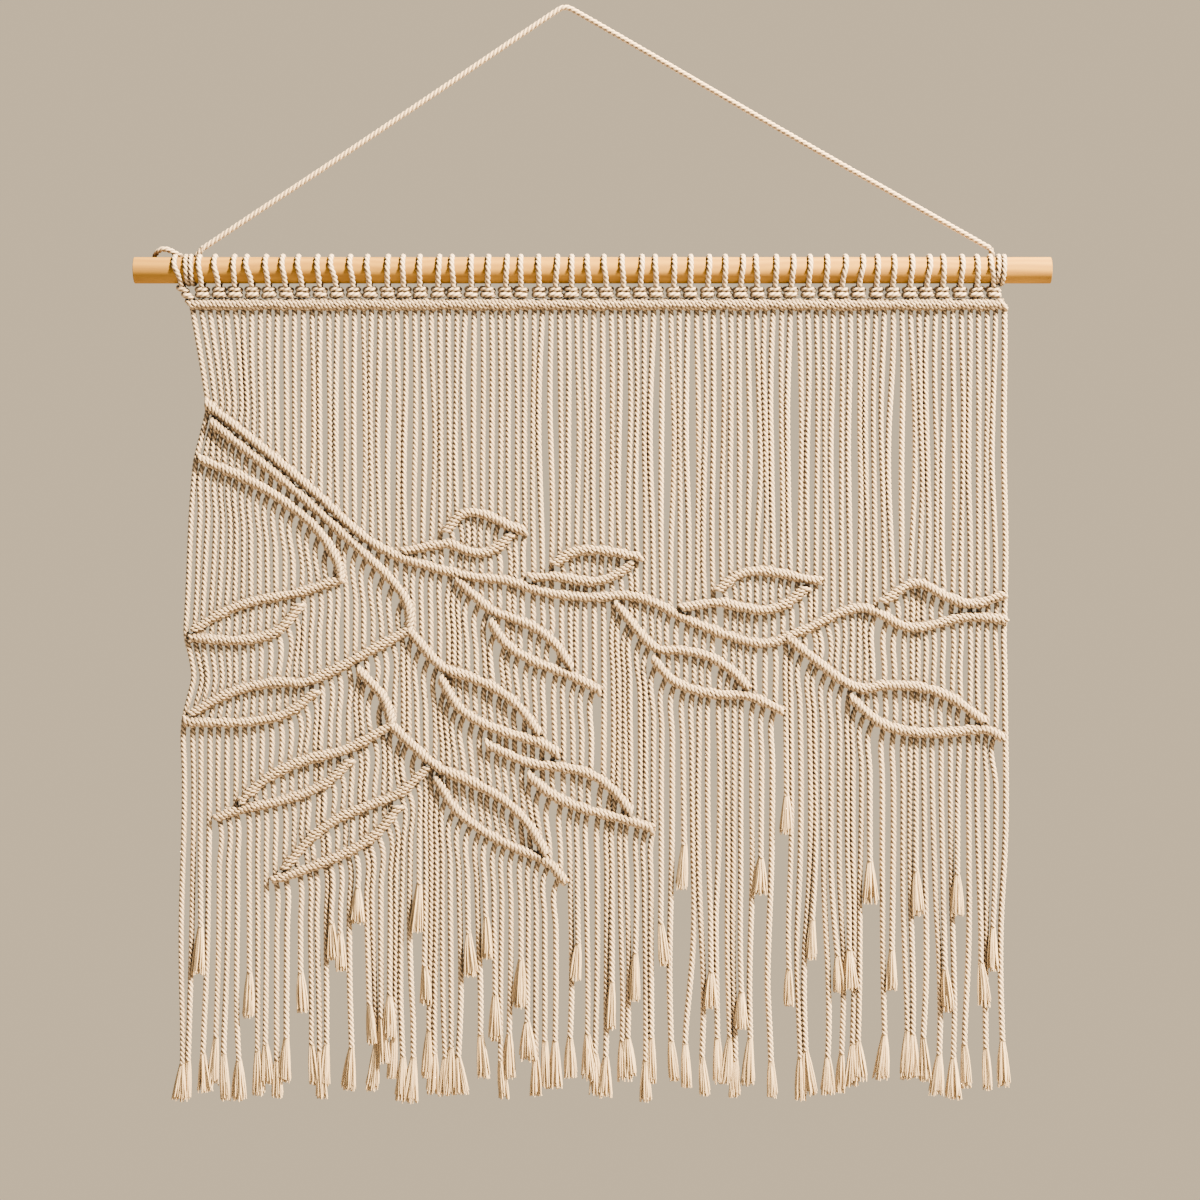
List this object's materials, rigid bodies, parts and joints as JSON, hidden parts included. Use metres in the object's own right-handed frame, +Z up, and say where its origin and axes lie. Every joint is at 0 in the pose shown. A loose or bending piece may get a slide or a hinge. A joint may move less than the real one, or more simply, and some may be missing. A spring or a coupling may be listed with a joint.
{
  "type": "macrame wall hanging on a wooden rod",
  "caption": "Flat knotted cotton panel with a leafy branch in raised bars and a fringed hem, on a round rod with a hanging cord.",
  "frame": {"origin": "the point where a wall hook carries the hanging cord, under its bend", "axes": "+X along the rod to the viewer's right, +Y away from the viewer into the wall, +Z up"},
  "size_m": [0.7, 0.0286, 0.833],
  "materials": {
    "cotton_cord": "matte twisted cotton cord in natural cream",
    "pine": "sanded pale pine with a thin satin finish"
  },
  "bodies": {
    "root": {"rod": "pine", "heading": "cotton_cord", "macrame": "cotton_cord", "hanging_cord": "cotton_cord", "cord_wrap_left": "cotton_cord", "cord_wrap_right": "cotton_cord"}
  },
  "joints": []
}
